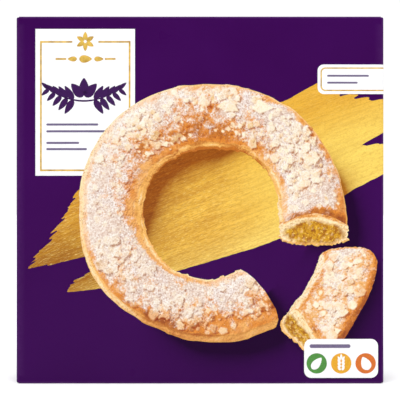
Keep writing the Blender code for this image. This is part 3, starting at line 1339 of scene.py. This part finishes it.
def print_pastry(name, x, z, height, light, layer, **fields):
    """Prints one part of the pastry. light is how lit its large form is, before the relief is added."""
    faces, shade = fall_of_light(height, x, z)
    lit = np.clip(light + FACES_SHARE * faces - SHADE_SHARE * shade, 0, 1)
    given = {field: np.clip(fields.get(field, np.zeros(x.shape)), 0, 1) for field in FIELDS}
    piece = lay(strip(name, x, z, lit=lit, **given), layer, pastry, cut=False)
    print(name.replace("_", " ") + ":", len(piece.data.polygons), "faces")


# %% [markdown]
# ## The ring
# The ring is one strip from the foot of its inner side, over the dusted top, to the foot of its outer
# side. Its cuts bulge, because the eye looks down on a rounded top. Distances from its two edges settle
# where its sides end and where the crust beside them is bare. Both differ round the ring, so tables give
# them in millimetres by the angle in degrees. The outer side shows most along the bottom, and the inner
# side at the upper left of the hole.

# %% Find the ring's sides
RING_CELLS = (640, 74)
INNER_SIDE = {-10: 3.2, 20: 3.4, 60: 4.4, 90: 5.0, 120: 6.0, 155: 6.0, 185: 4.8, 205: 3.4, 235: 1.2, 305: 1.0}
OUTER_SIDE = {
    -10: 0.8, 45: 0.8, 90: 1.1, 140: 1.4, 160: 2.6, 190: 3.2, 220: 4.3, 240: 5.0, 260: 5.2, 285: 5.0, 305: 4.0
}
INNER_BARE = {
    -10: 2.0, 20: 2.6, 40: 5.0, 65: 2.6, 100: 3.2, 120: 7.0, 165: 5.6, 185: 6.4, 205: 2.6, 240: 0.8,
    280: 2.6, 305: 2.6,
}
OUTER_BARE = {
    -10: 6.0, 20: 5.0, 50: 2.0, 80: 3.0, 105: 4.4, 140: 1.6, 180: 2.2, 205: 2.6, 222: 2.8, 240: 4.4,
    262: 11.0, 285: 10.5, 305: 6.0,
}

along, across = spread(*RING_CELLS)
first, last = (np.radians(read_off(ends, across)) for ends in (RING_STARTS, RING_ENDS))
angle = first + (last - first) * along
turn = np.degrees(angle)
near, far = inner_edge(angle), outer_edge(angle)
from_hole, from_rim = (far - near) * across, (far - near) * (1 - across)
x = RING_X + (near + from_hole) * np.cos(angle)
z = RING_Z + (near + from_hole) * np.sin(angle)
from_cut = (angle - first) * near
patches = lumpy(x, z, 13, 71)
ragged = 1.5 * (lumpy(x, z, 5, 73) - 0.5)


def bare_beside(past_side, table):
    """1 on the bare crust next to one of the ring's sides, easing to 0 in the sugar."""
    breadth = read_off(table, turn) * (0.7 + 0.6 * patches)
    return ease(past_side + ragged, 2.0 + 1.5 * breadth, 0.3 * breadth)


inner_side = read_off(INNER_SIDE, turn) * (1 + 0.26 * around(angle, 22, 61) + 0.24 * around(angle, 60, 62))
outer_side = read_off(OUTER_SIDE, turn) * (1 + 0.26 * around(angle, 24, 63))
past_inner, past_outer = from_hole - inner_side, from_rim - outer_side
on_inner, on_outer = ease(past_inner, 0.6, -0.8), ease(past_outer, 0.5, -0.6)
dough = np.maximum(on_inner, on_outer)
at_inner, at_outer = bare_beside(past_inner, INNER_BARE), bare_beside(past_outer, OUTER_BARE)
print(f"the sides are up to {inner_side.max():.1f} and {outer_side.max():.1f} mm broad")

# %% [markdown]
# Sugar covers the crust in clumps. It is missing beside the two sides, beside the cut and at the ring's
# far tip, and it is worn thin above the hole, along the bottom and near the far end.


# %% Dust the ring with sugar
def worn(strength, start, end, degrees, power, unevenness=0.3):
    """Where sugar is worn off: from start to end across the ring, on the part that faces a direction."""
    return strength * ease(across + unevenness * ragged, start, end) * facing(angle, degrees, power)


worn_inner = worn(1.15, 1.0, 0.22, 98, 0.8)
worn_outer = worn(1.4, 0.3, 0.86, 274, 2.2)
worn_places = [worn_inner, worn_outer, worn(0.4, 0.6, 1.0, 75, 0.8, 0.2), worn(1.05, 0.12, 0.7, 300, 16)]
worn_most = np.max(worn_places, axis=0)
tip = np.clip(1 - (last - angle) * far / 16, 0, 1) * ease(across, 0.35, 0.9)
rim_of_cut = ease(from_cut, 4.4, 1.2)
bare = np.max([at_inner, at_outer * (1 - 0.45 * facing(angle, 65, 0.6)), tip, rim_of_cut], axis=0)
clumps = (0.7 + 0.6 * facing(angle, 25)) * (patches - 0.5) + lumpy(x, z, 3.6, 75) - 0.5
sugar = 0.96 + 1.12 * clumps * (1 - 0.3 * worn_inner) - np.maximum(0.98 * bare, 0.72 * worn_most)
sugar -= (1.5 - facing(angle, 130, 2)) * dough + 0.26 * facing(angle, 298, 14)
print(f"sugar covers {np.mean(sugar > 0.5):.0%} of the ring")

# %% [markdown]
# The oven browns the bare crust and the sides unevenly. Four more tables say how much, from 0 for pale to
# 1 for dark, again by the angle in degrees. Thin layers show in both sides.

# %% Brown the ring
INNER_SIDE_BROWNED = {
    -10: 0.1, 20: 0.2, 45: 0.42, 75: 0.58, 110: 0.56, 140: 0.42, 165: 0.28, 190: 0.36, 212: 0.48,
    240: 0.1, 305: 0.1,
}
OUTER_SIDE_BROWNED = {
    -10: 0.45, 45: 0.3, 90: 0.24, 135: 0.06, 165: 0.08, 190: 0.24, 205: 0.26, 225: 0.24, 242: 0.62, 262: 0.56,
    285: 0.38, 305: 0.5,
}
INNER_CRUST_BROWNED = {
    -10: 0.0, 25: 0.1, 45: 0.24, 72: 0.5, 108: 0.52, 125: 0.36, 150: 0.08, 170: 0.08, 190: 0.26, 210: 0.16,
    240: 0.04, 305: 0.1,
}
OUTER_CRUST_BROWNED = {
    -10: 0.36, 30: 0.26, 80: 0.14, 190: 0.12, 206: 0.26, 224: 0.62, 244: 0.98, 260: 0.58, 285: 0.28, 305: 0.4
}

browned = 0.2 + 0.46 * worn_most + 0.5 * tip
for table, beside in ((INNER_CRUST_BROWNED, at_inner), (OUTER_CRUST_BROWNED, at_outer)):
    browned += (read_off(table, turn) - browned) * beside
browned += 0.7 * (lumpy(x, z, 5, 77) - 0.5) + 0.6 * rim_of_cut
layers = lumpy(angle * 4, from_hole, 1.2, 81, 2)
at_foot = np.clip(1 - from_hole / 2.8, 0, 1) * facing(angle, 105, 0.5)
wall = read_off(INNER_SIDE_BROWNED, turn) + 0.8 * (lumpy(x, z, 7, 83) - 0.5) + 0.7 * at_foot
up_side = np.clip(from_rim / read_off(OUTER_SIDE, turn), 0, 1)
base = read_off(OUTER_SIDE_BROWNED, turn) + 0.4 * (up_side**3 - 0.2) * facing(angle, 255)
side_browned = np.where(on_inner > on_outer, wall + layers - 0.5, base + 0.6 * (layers - 0.5))
browned += (side_browned - browned) * dough
print("the ring is browned by", round(float(browned.mean()), 2), "on average")

# %% [markdown]
# The relief has lumps of two sizes, the layers in the sides, and creases in the worn crust. Flakes fall in
# clusters on the top, away from its edges. The large form's light comes last: the ring's rounded top is
# brighter where it turns to the upper left, darker where it turns away, and darker again at the bottom.

# %% Raise the ring's relief and print it
RING_FLAKES = [(1050, 0.9, 2.4), (600, 2.2, 4.6), (150, 4.4, 7.2), (34, 7.2, 10)]
BRIGHTEST = 152  # the angle in degrees at which the rounded top meets the light

creases = np.clip(1 - 5 * np.abs(lumpy(x, z, 5, 85) - 0.5), 0, 1)
height = 2.0 * lumpy(x, z, 6, 91) + 1.2 * lumpy(x, z, 2.4, 93) * (1 - 0.4 * dough) + 0.5 * layers * dough
height += worn_inner * (lumpy(x, z, 3.4, 87) - 0.6 * creases) * (1 - dough)
height -= 0.8 * creases * worn_outer * (1 - dough)
height *= 1 - 0.5 * np.maximum(at_inner, at_outer)
on_top = ease(past_inner, 2.0, 9.0) * ease(past_outer, 1.0, 7.0) * ease(from_cut, 1.5, 5.0)
wish = on_top * (0.13 + 1.1 * ease(lumpy(x, z, 20, 95, 2), 0.42, 0.66)) * (1 - 0.45 * worn_inner)
flakes, toasted = scatter(height, x, z, wish, RING_FLAKES, 7)
browned += (toasted - browned) * flakes
flakes *= 1 - 0.35 * ease(lumpy(x, z, 3, 97), 0.5, 0.74) - 0.45 * facing(angle, 235, 0.6)
height += 0.35 * cloud(x, z, 0.9, 99) * (1 - dough)

rounding = across * 2 - 1
to_light = np.cos(angle - math.radians(BRIGHTEST)) * rounding * np.abs(rounding) ** 0.6
below = facing(angle, 244, 6) * np.clip(rounding, 0, 1)
light = 0.6 + np.where(to_light > 0, 0.34, 0.24) * to_light - 0.14 * below
side_light = 0.56 + np.where(rounding < 0, -0.08, 0.2) * toward_light(angle) - 0.2 * below
light += (side_light - light) * dough
fields = {"dough": dough, "browned": browned, "sugar": sugar, "almond": flakes}
print_pastry("pastry_ring", x, z, height, light, RING, **fields)

# %% [markdown]
# ## The cut faces
# Each cut shows a thin browned crust, pale layers of dough below it, and the almond filling in the middle,
# with crumbs hanging from its lower edge. A cut face is a strip too, from its foot up to its crust.

# %% Paint the cut faces
CUT_FOOT = [(56.2, 104.5), (59.8, 101), (68, 99), (78, 98.2), (89, 98.4), (98, 99), (104.6, 101.5)]
CUT_CRUST = [(57.2, 115), (62.4, 116.2), (70.8, 119.8), (81, 122), (92, 119.5), (99, 116.6), (103.8, 112.6)]
SQUARISH = 2.4  # the power that makes the filling's outline squarer than an oval's 2


def paint_cut_face(name, foot, crust, cells, middle, reach, seed):
    """middle and reach are the filling's place and half-width, as shares along and up the face."""
    along, up = spread(*cells)
    low_points, high_points = curve(foot, along), curve(crust, along)
    crumbs = cloud(along * 44, 0.5, 1.0, seed) + cloud(along * 16, 0.5, 1.0, seed + 9)
    at_end = np.sign(along - 0.5) * ease(np.abs(along - 0.5), 0.44, 0.5)
    end_crumbs = at_end * (cloud(0.5, up * 9, 1.0, seed + 8) - 0.3)
    places = low_points + (high_points - low_points) * up[..., None]
    x, z = places[..., 0] + 2.2 * end_crumbs, places[..., 1] - 1.6 * (crumbs - 0.8) * (1 - up)
    apart = [np.abs(share - centre) / half for share, centre, half in zip((along, up), middle, reach)]
    from_middle = sum(part**SQUARISH for part in apart) ** (1 / SQUARISH)
    filling = ease(from_middle + 0.4 * (lumpy(x, z, 5, seed + 1) - 0.5), 1.1, 0.7)
    filling *= 1 - 0.35 * ease(lumpy(x, z, 2.0, seed + 2, 2), 0.6, 0.78)
    layers = lumpy(along * 10, up * 15, 1.0, seed + 3, 2)
    rind = ease(up + 0.05 * (layers - 0.5), 0.8, 0.88)
    top_layers = ease(up, 0.6, 0.72)
    browned = 0.02 + 1.2 * (layers - 0.5) * top_layers + 0.4 * rind + 0.5 * ease(up, 0.16, 0.0)
    browned += 0.35 * (lumpy(x, z, 2.0, seed + 4) - 0.5)
    height = 1.3 * lumpy(x, z, 2.0, seed + 5) + 0.7 * layers * top_layers
    light = 0.66 - 0.06 * filling - 0.06 * along
    print_pastry(name, x, z, height, light, CUT_FACE, dough=1 - 0.6 * rind, browned=browned, filling=filling)


paint_cut_face("ring_cut_face", CUT_FOOT, CUT_CRUST, (150, 60), (0.54, 0.4), (0.45, 0.37), 201)
paint_cut_face("piece_cut_face", FACE_FOOT, FACE_TOP, (130, 60), (0.56, 0.38), (0.5, 0.26), 221)

# %% [markdown]
# ## The loose piece
# The loose piece is a strip as well, from the foot of its left side, over its top, to its right edge. Its
# four edges are curves, and its inner points are blended between all four.

# %% Spread the loose piece's points
PIECE_CELLS = (150, 96)
PIECE_SIDE = 4.6  # how broad its left side looks


def distance_to(points, x, z):
    """How far places are from a curve through a few points."""
    drawn = curve(points, np.linspace(0, 1, 60))
    return np.hypot(x[..., None] - drawn[:, 0], z[..., None] - drawn[:, 1]).min(-1)


along, across = spread(*PIECE_CELLS)
u, v = along[..., None], across[..., None]
foot, right = curve(PIECE_FOOT, along), curve(PIECE_RIGHT, along)
start, end = curve(PIECE_START, across), curve(PIECE_END, across)
start_corners = (1 - v) * PIECE_START[0] + v * PIECE_START[-1]
end_corners = (1 - v) * PIECE_END[0] + v * PIECE_END[-1]
places = (1 - v) * foot + v * right + (1 - u) * (start - start_corners) + u * (end - end_corners)
x = places[..., 0] + 0.9 * (cloud(along * 34, across * 2, 1.0, 305) - 0.5)
z = places[..., 1] + 0.7 * (cloud(along * 2, across * 30, 1.0, 306) - 0.5)
from_side = distance_to(PIECE_FOOT, x, z) - PIECE_SIDE - 1.6 * (cloud(along * 9, 0.5, 1.0, 307) - 0.5)
from_right, from_start, from_end = (distance_to(side, x, z) for side in (PIECE_RIGHT, PIECE_START, PIECE_END))
print("the loose piece is", round(float(from_right.max())), "mm broad")

# %% [markdown]
# It is dusted, browned, raised and lit as the ring is. Its sugar thins out towards the lower right, where
# the crust is browned most, and its largest flakes are whole slices.

# %% Paint the loose piece
PIECE_FLAKES = [(150, 0.9, 2.2), (70, 2.0, 4.2), (32, 4.4, 7.0), (12, 7.4, 10.5)]

dough = ease(from_side, 0.6, -0.8)
patches = lumpy(x, z, 12, 311)
to_foot = 1 - along
bare_left = 0.75 * ease(from_side, 2 + 18 * patches * along, 0.0)
bare_right = ease(from_right + 3 * (patches - 0.5), 3.6 + 7.4 * to_foot, 0.4 + 2.4 * to_foot)
bare = np.max([bare_left, bare_right, 0.7 * ease(from_end, 2.5, 0.3), ease(from_start, 2.5, 0.2)], axis=0)
sugar = 0.3 + 0.38 * along + 1.4 * (patches - 0.5) + 1.2 * (lumpy(x, z, 3.6, 315) - 0.5)
sugar -= 0.95 * bare + 1.5 * dough
at_right = ease(from_right, 3 + 6 * to_foot, 1.0)
browned = 0.16 + 0.26 * bare + 0.56 * at_right * (1 - 0.4 * along) + 0.6 * (lumpy(x, z, 5, 317) - 0.5)
layers = lumpy(along * 16, across * 28, 1.0, 321, 2)
browned += (0.7 * layers - 0.2 - browned) * dough
height = 1.8 * lumpy(x, z, 6, 331) + 1.1 * lumpy(x, z, 2.2, 333) + 0.6 * layers * dough
wish = ease(from_side, 2.0, 6) * ease(from_right, 5, 11) * ease(from_end, 1, 6) * ease(from_start, 1, 6)
flakes, toasted = scatter(height, x, z, wish * (0.25 + patches), PIECE_FLAKES, 9)
browned += (toasted - browned) * flakes
flakes *= 1 - 0.4 * ease(lumpy(x, z, 3, 337), 0.48, 0.72)
height += 0.35 * cloud(x, z, 0.9, 341) * (1 - dough)
light = 0.69 + 0.05 * along - 0.2 * ease(across, 0.7, 1.0)
light += (0.84 - light) * dough
fields = {"dough": dough, "browned": browned, "sugar": sugar, "almond": flakes}
print_pastry("loose_piece", x, z, height, light, LOOSE_PIECE, **fields)

# %% [markdown]
# ## The studio
# A pale floor runs out of sight in all directions, and the background is white. Two broad soft lamps shine
# from high in front on either side, a weaker one from high behind, and a pale ceiling fills in. None of
# them is mirrored by the front panel into the camera, so the deep purple stays deep. They are lamps of the
# far kind, because those light a wide floor evenly.


# %% Light the studio
def far_lamp(name, azimuth, elevation, spread_angle, strength):
    """A broad far lamp. Azimuth 0 is in front of the carton and 90 is to its right."""
    lamp = bpy.data.lights.new(name, "SUN")
    lamp.angle = math.radians(spread_angle)
    lamp.energy = strength
    holder = bpy.data.objects.new(name, lamp)
    turn, rise = math.radians(azimuth), math.radians(elevation)
    away = Vector((math.sin(turn) * math.cos(rise), -math.cos(turn) * math.cos(rise), math.sin(rise)))
    holder.location = Vector((0, 0, HEIGHT / 2)) + away * 3
    holder.rotation_euler = away.to_track_quat("Z", "Y").to_euler()
    bpy.context.scene.collection.objects.link(holder)


far_lamp("left_lamp", -26, 62, 50, 1.54)
far_lamp("right_lamp", 30, 60, 60, 1.19)
far_lamp("back_lamp", 184, 48, 60, 0.8)
bpy.context.scene.view_settings.view_transform = "Standard"
print("lamps hung")

# %% [markdown]
# The room is brighter above than at its sides. Only the carton sees it: to the camera, the background is
# plain white, and the floor is lifted a little so that it meets that white without an edge.

# %% Build the room and the floor
CEILING_STRENGTH = 0.62
WALL_STRENGTH = 0.06
WHITE_STRENGTH = 1.05
FLOOR_RADIUS = 9
FLOOR_GLOW = 0.1

world = bpy.data.worlds.new("white_room")
bpy.context.scene.world = world
world.use_nodes = True
bench.tree = world.node_tree
upwards = sides_of(add_node("ShaderNodeTexCoord").outputs["Generated"])[2]
glow = soft_step(upwards, 0.45, 0.85, WALL_STRENGTH, CEILING_STRENGTH)
room = add_node("ShaderNodeBackground", {"Color": (0.97, 0.98, 1, 1), "Strength": glow}).outputs[0]
white = add_node("ShaderNodeBackground", {"Color": (1, 1, 1, 1), "Strength": WHITE_STRENGTH}).outputs[0]
seen = add_node("ShaderNodeLightPath").outputs["Is Camera Ray"]
both = add_node("ShaderNodeMixShader", {0: seen, 1: room, 2: white}).outputs[0]
feed(bench.tree.nodes["World Output"].inputs["Surface"], both)

select_only()
bpy.ops.mesh.primitive_circle_add(vertices=96, radius=FLOOR_RADIUS, fill_type="NGON")
floor = named("studio_floor")
new_finish("pale_floor", 0.1)
sockets = bench.tree.nodes["Principled BSDF"].inputs
sockets["Roughness"].default_value = 0.9
sockets["Base Color"].default_value = ink(246, 246, 246)
sockets["Emission Color"].default_value = (1, 1, 1, 1)
sockets["Emission Strength"].default_value = FLOOR_GLOW
floor.data.materials.append(bench.material)
print("studio ready")
